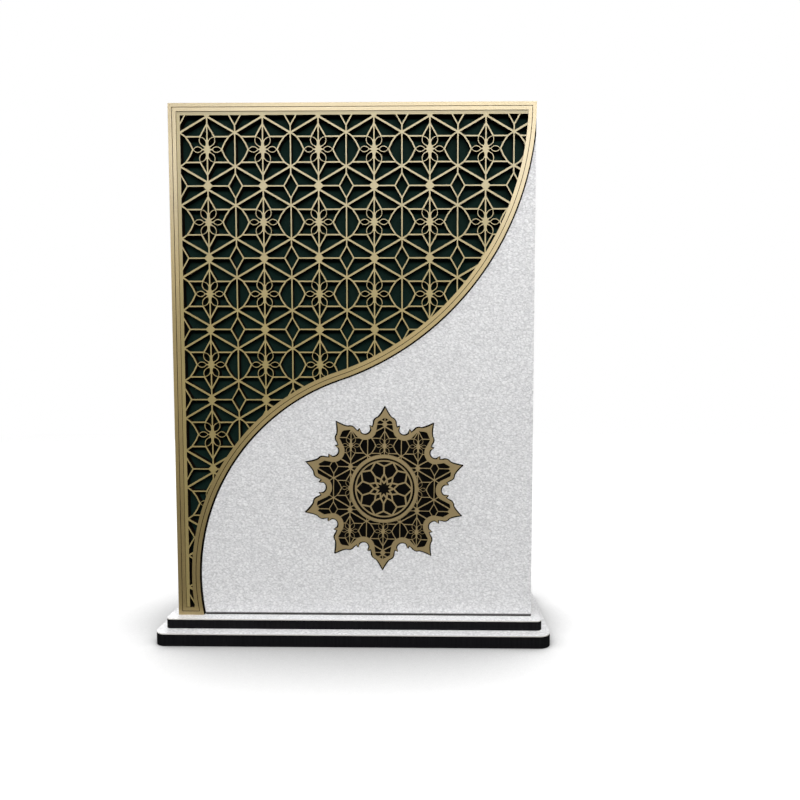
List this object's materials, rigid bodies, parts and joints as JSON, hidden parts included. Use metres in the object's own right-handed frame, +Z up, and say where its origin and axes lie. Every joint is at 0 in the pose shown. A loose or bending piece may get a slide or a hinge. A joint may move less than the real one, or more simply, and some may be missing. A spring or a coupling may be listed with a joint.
{
  "type": "quran box",
  "caption": "Upright open-sided book case on a two-tier plinth, its front faced with a pierced star lattice inside an S-curve and a pierced star medallion.",
  "frame": {"origin": "centre of the plinth's footprint, on its underside", "axes": "+Z up, +X towards the viewer's right and the open side, the decorated front faces -Y"},
  "size_m": [0.1968, 0.0764, 0.2663],
  "materials": {
    "gold_board": "thin board lacquered in satin gold, its laser-cut walls darker",
    "white_facing": "white foil with a fine grey grain",
    "black_board": "fibreboard with a black edge",
    "bare_board": "fibreboard with laser-browned edges",
    "green_sheet": "very dark green card, matte",
    "black_sheet": "black card, matte"
  },
  "bodies": {
    "root": {"lower_plinth": "black_board", "lower_plinth_facing": "white_facing", "upper_plinth": "black_board", "upper_plinth_facing": "white_facing", "floor_panel": "bare_board", "top_panel": "bare_board", "side_panel": "bare_board", "back_panel": "bare_board", "front_panel": "bare_board", "front_facing": "white_facing", "back_facing": "white_facing", "side_facing": "white_facing", "top_facing": "white_facing", "screen_backing": "green_sheet", "lattice_screen": "gold_board", "border_frame": "gold_board", "star_backing": "black_sheet", "star_fretwork": "gold_board", "medallion_disc": "black_sheet", "medallion_ring": "gold_board", "medallion_rosette": "gold_board"}
  },
  "joints": []
}
